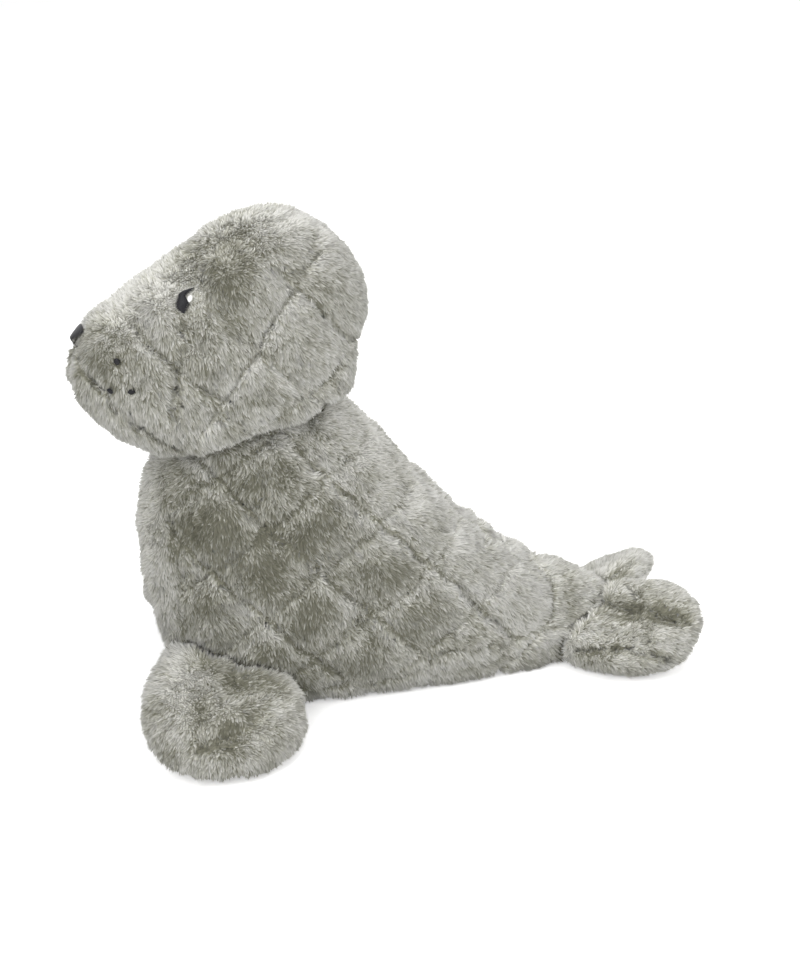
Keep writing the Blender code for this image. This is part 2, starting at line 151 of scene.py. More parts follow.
def torso_stitch(point):
    """Distance to the nearest stitched line, the way off it and how firmly it holds."""
    point = wandering(point)
    behind = point.x - TORSO_FRONT_X
    rounding = min(1.0, ((point.z - RUMP_SEAM_MIDDLE) / RUMP_SEAM_ROUND) ** 2)
    rump = RUMP_SEAM_SETBACK - RUMP_SEAM_ROUND * rounding
    belly = BELLY_SEAM_HEIGHT + BELLY_SEAM_LIFT[2] * smoothstep(behind, *BELLY_SEAM_LIFT[:2])
    lines = [
        (behind - CHEST_SEAM_SETBACK, Vector((1.0, 0.0, 0.0)), CHEST_SEAM_GRIP),
        (behind - rump, Vector((1.0, 0.0, 0.0)), RUMP_SEAM_GRIP),
        (point.z - belly, Vector((0.0, 0.0, 1.0)), BELLY_SEAM_GRIP)]
    if lines[0][0] > 0.0 > lines[1][0] and lines[2][0] > 0.0:
        side = 1.0 - math.exp(-(point.y / SPINE_STRIP) ** 2)
        lines.append(row_of_lines(behind, point.z, TORSO_FALL) + (side,))
        lines.append(row_of_lines(behind, point.z, TORSO_RISE) + (RISE_GRIP * side,))
        if behind > NECK_SETBACK:
            gusset = TAIL_GUSSET[2] * smoothstep(behind, *TAIL_GUSSET[:2])
            outward = Vector((0.0, math.copysign(1.0, point.y), 0.0))
            lines.append((abs(point.y) - gusset, outward, BACK_SEAM_GRIP))
    off, way, grip = min(lines, key=lambda line: abs(line[0]))
    return abs(off), way * math.copysign(1.0, off), grip


def skin_object(name, shape):
    """A smooth-shaded object from a bmesh, which is freed."""
    mesh = bpy.data.meshes.new(name)
    shape.to_mesh(mesh)
    shape.free()
    mesh.shade_smooth()
    made = bpy.data.objects.new(name, mesh)
    bpy.context.scene.collection.objects.link(made)
    return made


def apply_modifiers(piece):
    """Puts the piece's modified shape in its mesh."""
    shaped = bpy.data.meshes.new_from_object(
        piece.evaluated_get(bpy.context.evaluated_depsgraph_get()))
    piece.modifiers.clear()
    piece.data = shaped


def stuffed(name, node, swell, stitch, fixed):
    """The node's skin as even cloth, swollen by its stuffing where no stitch holds it."""
    piece = skin_object(name, merged(node))
    remesh = piece.modifiers.new("Even cloth", "REMESH")
    remesh.mode = "VOXEL"
    remesh.voxel_size = BACKING_CELL
    apply_modifiers(piece)
    start = [vert.co.copy() for vert in piece.data.vertices]
    group = piece.vertex_groups.new(name="stitched")
    holds = []
    for vert in piece.data.vertices:
        distance, _way, grip = stitch(vert.co)
        near = fixed.find_nearest(vert.co)[3]
        hold = max(
            grip * (1.0 - smoothstep(distance, *STITCH_HOLD)),
            1.0 - smoothstep(near, *SEAM_HOLD),
            1.0 - smoothstep(vert.co.z, *FLOOR_HOLD))
        holds.append(hold)
        group.add([vert.index], hold, "REPLACE")
    cloth = piece.modifiers.new("Stuffing", "CLOTH").settings
    cloth.quality = 5
    cloth.vertex_group_mass = "stitched"
    cloth.use_pressure = True
    cloth.uniform_pressure_force = STUFFING_PRESSURE
    cloth.effector_weights.gravity = 0.0
    for step in range(1, STUFFING_FRAMES + 1):
        bpy.context.scene.frame_set(step)
    blown = piece.evaluated_get(bpy.context.evaluated_depsgraph_get())
    ends = [vert.co.copy() for vert in blown.data.vertices]
    piece.modifiers.clear()
    for vert, begin, end, hold in zip(piece.data.vertices, start, ends, holds):
        move = (end - begin) * (1.0 - hold)
        vert.co = begin + move * min(1.0, swell / max(move.length, 1e-9))
    piece.vertex_groups.clear()
    rounding = piece.modifiers.new("Rounding", "SUBSURF")
    rounding.levels = 2
    rounding.render_levels = 2
    apply_modifiers(piece)
    return piece


# The skin's lumps, and what sinks it
LUMP_SIZES = (14.0 * MM, 5.0 * MM)
FINE_LUMPS = 0.4
BACKING_DEPTH = 1.0 * MM
SEAM_EASE = (0.5 * MM, 6.0 * MM)
CELL_JITTER = 0.3 * MM
FOLD_FLATTENED = 0.8
# How the tufts stand. The bare skin is what lies on the floor or against another piece
BARE_FLOOR = 0.8 * MM
BARE_SEAM = 0.7 * MM
TIP_CLEARANCE = 0.2 * MM
BARE_PLACE = (0.3, 0.05)
BARE_PLACE_SIZE = 0.02
TUFT_LENGTHS = (0.55, 1.1)
SWIRL = (16.0 * MM, 0.7)
CLUMP = (2.8 * MM, 0.33)
STRAY = 0.25
SEAM_COVER = (1.5 * MM, 7.0 * MM)
SEAM_UNCOMBED = 0.8
# Along the stitches the pile is broken up, pinned, parted and shortened, and painted shade darkens
# it
STITCH_BREAKS = (7.0 * MM, 0.8, 1.4)
PINNED_WIDTH = 1.6 * MM
STITCH_PAINTED_SHADE = 0.34
PINNED_SHORTER = 0.7
PARTED_WIDTH = 4.0 * MM
FOLD_PINNED = 0.4
CLIPPED_LENGTH = 0.2
CLIPPED_PALER = 0.25
CLIPPED_BARE = 0.4 * MM
# How far the tone differs from tuft to tuft, and how often a tuft is dark, plain or pale
TUFT_SPREAD = 0.14
STRAND_SPREAD = 0.12
CLUMP_SPREAD = (2.0 * MM, 0.30)
TUFT_TONES = (-0.40, 0.0, 0.27)
TUFT_KINDS = (11, 71, 18)
# Where a tuft lies on its map
TONE_ENDS = (0.04, 0.96)
ROOT_HEIGHT = 0.03
TIP_HEIGHT = 0.97
TUFT_HALF = 0.004


def off_fold(point, normal, fold):
    """The way to a point from the nearest point of a fold's line, mostly along the skin."""
    start, end = (Vector(place) * MM for place in fold[:2])
    along = end - start
    share = min(1.0, max(0.0, (point - start).dot(along) / max(along.length_squared, 1e-9)))
    off = point - start - along * share
    return off - normal * off.dot(normal) * FOLD_FLATTENED


def grow_pile(piece, seed, pile, lump, folds, stitch, nap, shade, seams, trims):
    """Draws every small triangle of the skin out into a tuft, leaning with the nap.

    A fold is a line on the skin with a width, a depth and a darkness, which is painted shade in
    its hollow or, below 0, a painted highlight on a ridge, and a trim is what the pile is clipped
    short around, and how far. Along a stitched line the pile is pinned down, darkened with painted
    shade and parts to both sides, and at a seam with another piece it closes over the gap. The map
    holds a tuft's shade across it and the height up the tuft along it.
    """
    draw = random.Random(seed)
    shape = bmesh.new()
    shape.from_mesh(piece.data)
    shape.normal_update()
    moves = []
    for vert in shape.verts:
        distance, _way, grip = stitch(vert.co)
        sink = CREASE_DEPTH * grip * math.exp(-(distance / CREASE_WIDTH) ** 2)
        coarse, fine = (noise.noise(vert.co / size) for size in LUMP_SIZES)
        swell = lump * (coarse + FINE_LUMPS * fine) - BACKING_DEPTH
        swell *= smoothstep(seams.find_nearest(vert.co)[3], *SEAM_EASE)
        for fold in folds:
            off = off_fold(vert.co, vert.normal, fold).length
            sink += fold[3] * MM * math.exp(-(off / (fold[2] * MM)) ** 2)
        shift = Vector([draw.uniform(-1.0, 1.0) for _axis in range(3)])
        shift -= vert.normal * shift.dot(vert.normal)
        moves.append(vert.co + vert.normal * (swell - sink) + shift * CELL_JITTER)
    for vert, place in zip(shape.verts, moves):
        vert.co = place
        vert.co.z = max(0.0, vert.co.z)
    bmesh.ops.triangulate(shape, faces=shape.faces[:])
    shape.normal_update()
    places = shape.loops.layers.uv.new("OFBake")
    furry = []
    for face in shape.faces:
        middle = face.calc_center_median()
        if middle.z > BARE_FLOOR and seams.find_nearest(middle)[3] > BARE_SEAM:
            furry.append(face)
        else:
            for loop, (right, up) in zip(face.loops, ((0, 0), (1, 0), (0, 1))):
                loop[places].uv = (
                    BARE_PLACE[0] + BARE_PLACE_SIZE * right, BARE_PLACE[1] + BARE_PLACE_SIZE * up)
    poked = bmesh.ops.poke(shape, faces=furry)
    shape.normal_update()
    tips = []
    for tip in poked["verts"]:
        normal = tip.normal.copy()
        distance, way, grip = stitch(tip.co)
        length, plain, much = STITCH_BREAKS
        broken = min(1.0, max(0.0, plain + much * noise.noise(tip.co / length)))
        grip *= broken
        held = grip * math.exp(-(distance / PINNED_WIDTH) ** 2)
        parted = way * grip * math.exp(-(distance / PARTED_WIDTH) ** 2)
        trim = 1.0
        for tree, reach in trims:
            trim = min(trim, smoothstep(tree.find_nearest(tip.co)[3], CLIPPED_BARE, reach))
        # Painted shade darkens the pile along the stitched lines
        tone = shade(tip.co, normal) + CLIPPED_PALER * (1.0 - trim) - STITCH_PAINTED_SHADE * held
        for fold in folds:
            off = off_fold(tip.co, normal, fold)
            near = math.exp(-(off.length / (fold[2] * MM)) ** 2) * (0.5 + 0.5 * broken)
            # A fold's darkness is painted shade in its hollow, or a painted highlight where it is
            # below 0
            tone -= fold[4] * near
            held += FOLD_PINNED * near * max(0.0, fold[4])
            parted += off.normalized() * near * fold[4]
        tone += draw.gauss(0.0, TUFT_SPREAD)
        tone += CLUMP_SPREAD[1] * noise.noise(tip.co / CLUMP_SPREAD[0])
        tone += draw.choices(TUFT_TONES, TUFT_KINDS)[0]
        seam, _normal, _face, gap = seams.find_nearest(tip.co)
        closing = 1.0 - smoothstep(gap, *SEAM_COVER)
        comb = nap(tip.co) * (1.0 - SEAM_UNCOMBED * closing)
        comb += (seam - tip.co).normalized() * closing
        comb -= normal * comb.dot(normal)
        swirl = noise.noise_vector(tip.co / SWIRL[0]) * SWIRL[1]
        clump = noise.noise_vector(tip.co / CLUMP[0]) * CLUMP[1]
        stray = noise.random_unit_vector() * STRAY
        lean = normal + comb + swirl + parted + stray
        reach = pile * draw.uniform(*TUFT_LENGTHS) * (1.0 - PINNED_SHORTER * min(1.0, held))
        reach *= CLIPPED_LENGTH + (1.0 - CLIPPED_LENGTH) * trim
        end = tip.co + lean.normalized() * reach + clump * pile * trim
        end.z = max(TIP_CLEARANCE, end.z)
        tips.append((tip, end, tone))
    for tip, end, tone in tips:
        tip.co = end
        for face in tip.link_faces:
            side = tone + draw.uniform(-STRAND_SPREAD, STRAND_SPREAD)
            side = min(TONE_ENDS[1], max(TONE_ENDS[0], side))
            edge = side - TUFT_HALF
            for loop in face.loops:
                if loop.vert is tip:
                    loop[places].uv = (side, TIP_HEIGHT)
                else:
                    loop[places].uv = (edge, ROOT_HEIGHT)
                    edge += 2.0 * TUFT_HALF
    shape.to_mesh(piece.data)
    shape.free()
    piece.data.shade_smooth()


class Socket:
    """A shader socket that arithmetic can be written on."""

    def __init__(self, tree, link):
        self.tree = tree
        self.link = link

    def node(self, kind, out, settings, **inputs):
        """Adds a node, sets it, fills its inputs and returns one of its outputs."""
        made = self.tree.nodes.new(kind)
        for key, value in settings.items():
            setattr(made, key, value)
        for key, value in inputs.items():
            entry = made.inputs[int(key[1:])] if key[1:].isdigit() else made.inputs[key]
            if isinstance(value, Socket):
                self.tree.links.new(value.link, entry)
            else:
                entry.default_value = value
        return Socket(self.tree, made.outputs[out])

    def math(self, operation, left, right):
        return self.node("ShaderNodeMath", 0, {"operation": operation}, _0=left, _1=right)

    def __add__(self, other):
        return self.math("ADD", self, other)

    def __sub__(self, other):
        return self.math("SUBTRACT", self, other)

    def __rsub__(self, other):
        return self.math("SUBTRACT", other, self)

    def __mul__(self, other):
        return self.math("MULTIPLY", self, other)

    def __pow__(self, other):
        return self.math("POWER", self, other)

    __radd__ = __add__
    __rmul__ = __mul__


def finish(name, roughness, sheen):
    """A new material: its Principled shader, and a socket to write expressions from."""
    material = bpy.data.materials.new(name)
    material.use_nodes = True
    tree = material.node_tree
    shader = tree.nodes["Principled BSDF"]
    shader.inputs["Roughness"].default_value = roughness
    shader.inputs["Sheen Weight"].default_value = sheen
    shader.inputs["Sheen Roughness"].default_value = 0.5
    shader.inputs["Specular IOR Level"].default_value = 0.25
    return material, shader, Socket(tree, None)


def mixed(start, factor, low, high):
    """A colour between two colours."""
    return start.node(
        "ShaderNodeMix", 2, {"data_type": "RGBA"}, _0=factor, _6=low, _7=high)


OLIVE_SHADE = (0.222, 0.217, 0.153, 1.0)
WARM_GREY = (0.625, 0.618, 0.540, 1.0)
PALE_GREY = (0.940, 0.932, 0.885, 1.0)
ROOT_SHADE = (0.130, 0.128, 0.098, 1.0)

plush, shader, start = finish("grey plush", 0.92, 0.35)
place = start.node("ShaderNodeUVMap", 0, {"uv_map": "OFBake"})
tone = start.node("ShaderNodeSeparateXYZ", 0, {}, _0=place)
height = Socket(tone.tree, tone.link.node.outputs[1])
dark_half = start.node("ShaderNodeClamp", 0, {}, _0=tone * 2.0)
pale_half = start.node("ShaderNodeClamp", 0, {}, _0=tone * 2.0 - 1.0)
coat = mixed(start, pale_half, mixed(start, dark_half, OLIVE_SHADE, WARM_GREY), PALE_GREY)
fibre = mixed(start, height ** 0.5, ROOT_SHADE, coat)
plush.node_tree.links.new(fibre.link, shader.inputs["Base Color"])


def painted_shade_patches(along, up, patches):
    """How much painted shade a place in the side view gets from patches; a strength below 0 paints
    light.
    """
    return sum(
        depth * math.exp(-(math.hypot(along / MM - x, up / MM - z) / size) ** 2)
        for x, z, size, depth in patches)


def mottle(point, size, much):
    """Soft blotches in the pile, and finer, weaker ones in them."""
    return much * (noise.noise(point / size) + 0.5 * noise.noise(point / (0.3 * size)))


# Patches of painted shade. Each is a place behind the chest front and above the floor, a size and
# a strength
TORSO_SHADE_PATCHES = (
    (33.7, 92.0, 18.0, 0.38), (57.0, 76.0, 16.0, 0.38), (73.0, 87.0, 10.0, 0.28),
    (83.0, 95.0, 9.0, 0.26), (111.0, 64.0, 9.0, 0.34), (71.0, 48.0, 11.0, 0.28),
    (28.0, 60.0, 8.0, 0.32), (45.0, 116.0, 11.0, 0.22), (62.0, 118.0, 9.0, 0.26),
    (76.0, 128.0, 8.0, 0.20), (101.0, 22.0, 13.0, 0.14), (62.0, 28.0, 20.0, 0.26),
    (152.0, 37.0, 8.0, 0.24), (128.0, 34.0, 10.0, 0.18), (158.0, 58.0, 6.0, 0.22))
# The tone is 0 where the pile is olive, 0.5 where it is warm grey and 1 where it is pale.
# The side panel has painted light on its back behind a line of its quilting, on faces turned up,
# at the chest and at the rump, and painted shade round the root of the tail
TORSO_TONE = 0.34
TORSO_MOTTLE = (12.0 * MM, 0.30)
# A painted highlight on the rims beside the stitched lines, most on their lower side
TORSO_RIM_HIGHLIGHT = 0.36
RIM_SETBACK = 3.6 * MM
RIM_WIDTH = 3.4 * MM
UPPER_SIDE_HIGHLIGHT = 0.45
PALE_EDGE = (26.0 * MM, 38.0 * MM)
BACK_PAINTED_LIGHT = 0.28
TOP_PAINTED_LIGHT = 0.14
CHEST_PAINTED_LIGHT = (CHEST_SEAM_SETBACK - 6.0 * MM, CHEST_SEAM_SETBACK + 4.0 * MM, 0.38)
RUMP_PAINTED_LIGHT = (115.0 * MM, 165.0 * MM, 0.07)
# Painted shade in the recess round the root of the tail
TAIL_ROOT_PAINTED_SHADE = (197.0 * MM, 7.0 * MM, 0.40)


def painted_rim_highlight(distance, way, much):
    """A painted highlight on the rim that the stuffing lifts beside a line, most on its lower side.
    """
    side = 1.0 if way.z < 0.0 else UPPER_SIDE_HIGHLIGHT
    return much * side * math.exp(-((distance - RIM_SETBACK) / RIM_WIDTH) ** 2)


def torso_shade(point, normal):
    """The torso's tone: painted light on back, top, chest, rump and stitch rims, painted shade in
    patches.
    """
    behind = point.x - TORSO_FRONT_X
    distance, way, grip = torso_stitch(point)
    along_through, up_through, slope, _pitch = TORSO_FALL
    beyond = (point.z - up_through) * math.cos(slope) - (behind - along_through) * math.sin(slope)
    tone = TORSO_TONE + painted_rim_highlight(distance, way, TORSO_RIM_HIGHLIGHT * grip)
    tone += BACK_PAINTED_LIGHT * smoothstep(beyond, *PALE_EDGE)
    tone += TOP_PAINTED_LIGHT * smoothstep(normal.z, 0.15, 0.85)
    tone += CHEST_PAINTED_LIGHT[2] * (1.0 - smoothstep(behind, *CHEST_PAINTED_LIGHT[:2]))
    tone += RUMP_PAINTED_LIGHT[2] * smoothstep(behind, *RUMP_PAINTED_LIGHT[:2])
    middle, width, darker = TAIL_ROOT_PAINTED_SHADE
    tone -= darker * math.exp(-((behind - middle) / width) ** 2)
    return tone + mottle(point, *TORSO_MOTTLE) - painted_shade_patches(behind, point.z, TORSO_SHADE_PATCHES)


CHEST_BRUSHED = (10.0 * MM, 30.0 * MM)
RUMP_BRUSHED = (110.0 * MM, 160.0 * MM)
SIDE_NAP = Vector((0.30, 0.0, -0.60))
BRUSHED_NAP = Vector((0.80, 0.0, -0.80))


def torso_nap(point):
    """The torso's pile stands up on the quilted sides, and is brushed down and back elsewhere."""
    behind = point.x - TORSO_FRONT_X
    brushed = 1.0 - smoothstep(behind, *CHEST_BRUSHED) + smoothstep(behind, *RUMP_BRUSHED)
    return SIDE_NAP.lerp(BRUSHED_NAP, min(1.0, brushed))


def dress(piece, node):
    """Gives a sewn skin its plush and puts it in the place of its node."""
    piece.data.materials.clear()
    piece.data.materials.append(plush)
    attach(piece, "root")
    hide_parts(node)


# The corners where the front flippers leave the belly, with painted shade: where each starts and
# ends, and its width, depth and darkness, as in the other lists of folds and creases
TORSO_FOLDS = [
    ((-50.5, side * 38.0, 12.0), (-44.0, side * 37.0, 4.0), 4.0, 0.8, 0.40)
    for side in (-1.0, 1.0)]

noise.seed_set(7)
others = tree_of([node for node in SEWN if node != "torso"])
torso = stuffed("torso_plush", "torso", TORSO_SWELL, torso_stitch, others)
grow_pile(
    torso, 1, TORSO_PILE, TORSO_LUMPS, TORSO_FOLDS, torso_stitch, torso_nap, torso_shade,
    others, ())
dress(torso, "torso")


# Head
# A stuffed ball of the same plush, sewn shut onto the neck and turned a little to the toy's
# left. Its quilting fans out from under the chin, and a throat gusset runs up to the nose.
HEAD_ORIGIN = Vector((-60.5, 0.0, 137.0)) * MM
HEAD_TURN = math.radians(9.0)
HEAD_FALL = (11.3 * MM, 28.5 * MM, math.radians(-49.0), 30.0 * MM)
FALL_GRIPS = {1: 0.8, 0: 0.55, -1: 0.5}
SPOKE_GRIPS = (0.45, 0.95, 0.35)
FAINT_GRIP = 0.12
FAN_CENTER = (-52.6 * MM, -20.5 * MM)
FAN_FIRST = math.radians(27.5)
FAN_STEP = math.radians(21.0)
FAN_OPENS = (25.0 * MM, 45.0 * MM)
MIDDLE_STRIP = 9.0 * MM
STITCH_FADES = (56.0 * MM, 74.0 * MM, 0.75)
HEAD_SWELL = 1.4 * MM
HEAD_LUMPS = 1.0 * MM
HEAD_PILE = 3.4 * MM
HEAD_NAP = Vector((0.65, 0.0, -1.45))
HEAD_TONE = 0.49
HEAD_MOTTLE = (10.0 * MM, 0.28)
# The head's stitched lines get a painted highlight on their rims, and its crown painted light where
# it faces up
HEAD_RIM_HIGHLIGHT = 0.22
CROWN_PAINTED_LIGHT = 0.36
EYE_CLIPPED = 5.0 * MM
NOSE_CLIPPED = 2.6 * MM
WHISKERS_CLIPPED = 2.2 * MM
# Patches of painted shade, or of painted light where the strength is below 0. Each is a place in
# the head's own side view, a size and a strength
HEAD_SHADE_PATCHES = (
    (1.0, 76.0, 12.0, 0.44), (-10.0, 66.0, 12.0, 0.40), (-57.0, 47.0, 10.0, 0.34),
    (-66.0, 38.0, 9.0, 0.30), (-22.0, 74.0, 8.0, 0.20), (-28.0, 52.0, 8.0, 0.12),
    (-58.0, 8.0, 16.0, -0.26), (-45.0, 55.0, 10.0, -0.12))
# Creases of the left cheek in the head's own frame: where each starts and ends, and its width,
# depth and darkness, which is painted shade. The gusset's seam runs from the nose down to the
# throat
HEAD_CREASES = (
    ((-75.5, -1.0, 42.0), (-73.9, -11.8, 38.9), 1.6, 2.4, 0.72),
    ((-73.9, -11.8, 38.9), (-72.8, -16.7, 34.7), 1.6, 2.4, 0.72),
    ((-72.8, -16.7, 34.7), (-67.1, -25.4, 27.4), 1.6, 2.4, 0.68),
    ((-67.1, -25.4, 27.4), (-64.2, -27.8, 25.4), 1.6, 2.0, 0.55),
    ((-62.2, -29.5, 19.6), (-53.7, -33.5, 8.5), 2.6, 1.6, 0.28),
    ((-53.7, -33.5, 8.5), (-38.0, -36.0, -1.0), 2.6, 1.6, 0.30),
    ((-26.5, -30.7, 57.6), (-29.9, -34.5, 48.9), 1.8, 0.8, 0.26),
    ((-31.5, -36.0, 43.0), (-36.2, -38.5, 26.4), 1.8, 0.8, 0.26),
    ((-36.2, -38.5, 26.4), (-39.7, -39.3, 16.4), 2.2, 1.0, 0.34),
    ((-45.0, -29.5, 45.5), (-33.5, -37.6, 33.8), 1.8, 0.7, 0.20),
    ((-27.2, -41.5, 26.8), (-13.0, -44.6, 18.2), 1.5, 1.2, 0.44),
    ((35.7, -23.0, 73.7), (27.0, -31.0, 67.5), 1.5, 0.8, 0.30),
    ((38.2, -35.3, 24.8), (22.7, -42.3, 16.1), 1.8, 1.0, 0.28))
# The whisker knots pull dimples in the cheek, with painted shade in them
KNOT_PLACES = ((-58.2, -29.1, 39.7), (-62.8, -30.0, 28.1), (-54.4, -33.9, 27.5))
KNOT_DIMPLE = (2.4, 0.8, 0.42)
EMBROIDERY = [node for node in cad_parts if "stitch" in node or "glint" in node]

head_frame = Matrix.Translation(HEAD_ORIGIN) @ Matrix.Rotation(HEAD_TURN, 4, "Z")
head_turned = head_frame.to_3x3()
into_head = head_frame.inverted()


def head_stitch(point):
    """Distance to the head's nearest stitched line, the way off it and how firmly it holds."""
    local = into_head @ wandering(point)
    plain = 1.0 - math.exp(-(local.y / MIDDLE_STRIP) ** 2)
    plain *= 1.0 - STITCH_FADES[2] * smoothstep(local.z, *STITCH_FADES[:2])
    from_center = (local.x - FAN_CENTER[0], local.z - FAN_CENTER[1])
    reach = math.hypot(*from_center)
    angle = math.atan2(from_center[1], from_center[0]) - FAN_FIRST
    number = min(len(SPOKE_GRIPS) - 1, max(0, round(angle / FAN_STEP)))
    spoke = FAN_STEP * number + FAN_FIRST
    off = reach * math.sin(angle - FAN_STEP * number)
    way = Vector((-math.sin(spoke), 0.0, math.cos(spoke)))
    grip = plain * smoothstep(reach, *FAN_OPENS) * SPOKE_GRIPS[number]
    best = (abs(off), head_turned @ (way * math.copysign(1.0, off)), grip)
    off, way = row_of_lines(local.x, local.z, HEAD_FALL)
    along_through, up_through, _slope, pitch = HEAD_FALL
    row = round(((local.z - up_through) * way.z + (local.x - along_through) * way.x) / pitch)
    grip = plain * FALL_GRIPS.get(row, FAINT_GRIP)
    if row == 0 and angle > FAN_STEP:
        grip *= FAINT_GRIP
    if abs(off) < best[0]:
        best = (abs(off), head_turned @ (way * math.copysign(1.0, off)), grip)
    return best


def head_folds():
    """The creases and the dimples of the whisker knots, on both cheeks, placed in the world."""
    dimples = tuple((knot, knot) + KNOT_DIMPLE for knot in KNOT_PLACES)
    folds = []
    for side in (1.0, -1.0):
        for begin, end, width, depth, darkness in HEAD_CREASES + dimples:
            ends = [head_frame @ (Vector((x, side * y, z)) * MM) / MM for x, y, z in (begin, end)]
            folds.append((*ends, width, depth, darkness))
    return folds


def head_shade(point, normal):
    """The head's tone: painted light on the crown and stitch rims, painted shade at temple and
    muzzle.
    """
    local = into_head @ point
    distance, way, grip = head_stitch(point)
    tone = HEAD_TONE + painted_rim_highlight(distance, way, HEAD_RIM_HIGHLIGHT * grip) + mottle(point, *HEAD_MOTTLE)
    tone += CROWN_PAINTED_LIGHT * smoothstep(normal.z, 0.2, 0.9)
    return tone - painted_shade_patches(local.x, local.z, HEAD_SHADE_PATCHES)


def head_nap(_point):
    """The head's pile is brushed back from the nose and down."""
    return head_turned @ HEAD_NAP


neighbours = [node for node in SEWN if node != "head"]
clipped = (
    (tree_of([node for node in EMBROIDERY if "eye" in node]), EYE_CLIPPED),
    (tree_of(["nose_stitching"]), NOSE_CLIPPED),
    (tree_of([node for node in EMBROIDERY if "whisker" in node]), WHISKERS_CLIPPED))
head = stuffed("head_plush", "head", HEAD_SWELL, head_stitch, tree_of(neighbours + EMBROIDERY))
grow_pile(
    head, 2, HEAD_PILE, HEAD_LUMPS, head_folds(), head_stitch, head_nap, head_shade,
    tree_of(neighbours), clipped)
dress(head, "head")


# Front flippers
# Two flat paddles, each two layers of plush sewn together round the rim and lightly filled, so
# that the rim is puffed and the middle sinks.
FLIPPER_SWELL = 1.0 * MM
FLIPPER_PILE = 3.5 * MM
FLIPPER_COMB = 1.35
FLIPPER_TONE = 0.71
FLIPPER_MOTTLE = (9.0 * MM, 0.34)
# Painted light near the tops of the paddles, where they meet the torso
FLIPPER_TOP_PAINTED_LIGHT = (26.0 * MM, 36.0 * MM, 0.12)
FRONT_LUMPS = 1.2 * MM
FRONT_ROOT = (-88.0, -46.0, 46.0)
# Folds of the left paddle, their darkness painted shade. One of them is a ridge, with a depth and a
# darkness below 0 that is a painted highlight, and one with no depth is painted shade alone
FRONT_FOLDS = (
    ((-90.0, -46.0, 34.0), (-78.0, -52.0, 28.5), 8.0, 1.0, 0.56),
    ((-74.0, -54.0, 26.5), (-60.0, -59.0, 24.0), 7.5, 1.0, 0.60),
    ((-95.5, -72.0, 25.0), (-94.6, -89.0, 18.5), 4.0, 2.4, 0.42),
    ((-94.6, -90.2, 18.3), (-85.0, -88.0, 18.6), 6.0, 2.6, 0.56),
    ((-85.0, -88.0, 18.6), (-74.0, -79.0, 20.5), 5.0, 2.4, 0.48),
    ((-89.1, -65.4, 24.4), (-78.0, -78.0, 21.0), 4.6, -2.4, -0.10),
    ((-88.0, -74.0, 23.0), (-76.0, -80.0, 20.5), 16.0, 0.0, 0.20),
    ((-120.0, -69.0, 25.0), (-119.0, -76.0, 22.0), 4.0, 0.4, 0.30),
    ((-114.8, -87.7, 12.7), (-108.0, -93.0, 11.0), 3.4, 0.4, 0.28))


def no_stitch(_point):
    """The paddles have no quilting."""
    return 1.0, Vector((0.0, 0.0, 1.0)), 0.0


def paddle_shade(point, _normal):
    """The paddles' tone: pale and mottled, with painted light at the top."""
    top = FLIPPER_TOP_PAINTED_LIGHT[2] * smoothstep(point.z, *FLIPPER_TOP_PAINTED_LIGHT[:2])
    return FLIPPER_TONE + top + mottle(point, *FLIPPER_MOTTLE)


def outward_nap(root):
    """The pile of a paddle is brushed away from the seam that joins it to the torso."""
    return lambda point: (point - root).normalized() * FLIPPER_COMB


def mirrored(folds, side):
    """Folds placed on the left paddle, or their mirror images on the right one."""
    return [
        [(place[0], side * place[1], place[2]) for place in fold[:2]] + list(fold[2:])
        for fold in folds]


for number, (node, side) in enumerate(zip(SEWN[2:4], (1.0, -1.0)), start=3):
    others = tree_of([other for other in SEWN if other != node])
    root = Vector((FRONT_ROOT[0], side * FRONT_ROOT[1], FRONT_ROOT[2])) * MM
    paddle = stuffed(node + "_plush", node, FLIPPER_SWELL, no_stitch, others)
    grow_pile(
        paddle, number, FLIPPER_PILE, FRONT_LUMPS, mirrored(FRONT_FOLDS, side), no_stitch,
        outward_nap(root), paddle_shade, others, ())
    dress(paddle, node)


# Tail flippers
# Two smaller paddles, made the same way and sewn to the sides of the tail stem. The left one
# is rolled over a deep hollow, with a lip under it, and the right one lies in a narrow roll.
TAIL_LUMPS = 0.8 * MM
TAIL_ROOT = Vector((72.0, 0.0, 24.0)) * MM
# Folds of the tail paddles: their darkness is painted shade in the hollows and creases, and the one
# with no depth is painted shade alone
TAIL_FOLDS = (
    (((94.3, -13.3, 27.5), (107.8, -26.2, 23.9), 4.8, 3.4, 0.50),
     ((95.3, -15.0, 26.8), (99.0, -19.5, 25.0), 3.0, 0.8, 0.30),
     ((112.0, -27.2, 27.0), (127.0, -39.5, 26.4), 6.0, 3.0, 0.66),
     ((118.0, -35.5, 26.0), (131.0, -43.6, 26.0), 2.8, 2.4, 0.56),
     ((110.5, -12.5, 33.5), (112.3, -21.0, 31.0), 2.2, 3.0, 0.25),
     ((80.1, -33.8, 11.1), (97.3, -43.4, 14.7), 2.0, 2.2, 0.50),
     ((97.3, -43.4, 14.7), (112.8, -53.6, 14.2), 2.0, 2.2, 0.50),
     ((112.8, -53.6, 14.2), (121.5, -55.8, 11.6), 2.0, 1.8, 0.40),
     ((84.0, -40.0, 7.0), (114.0, -57.0, 8.0), 5.5, 0.0, 0.22),
     ((113.2, -37.4, 21.7), (112.2, -47.1, 18.8), 2.6, 1.4, 0.30)),
    (((103.9, 3.6, 26.5), (108.9, 5.4, 29.3), 2.4, 2.2, 0.50),
     ((108.9, 5.4, 29.3), (118.5, 11.3, 32.5), 2.4, 2.2, 0.46)))

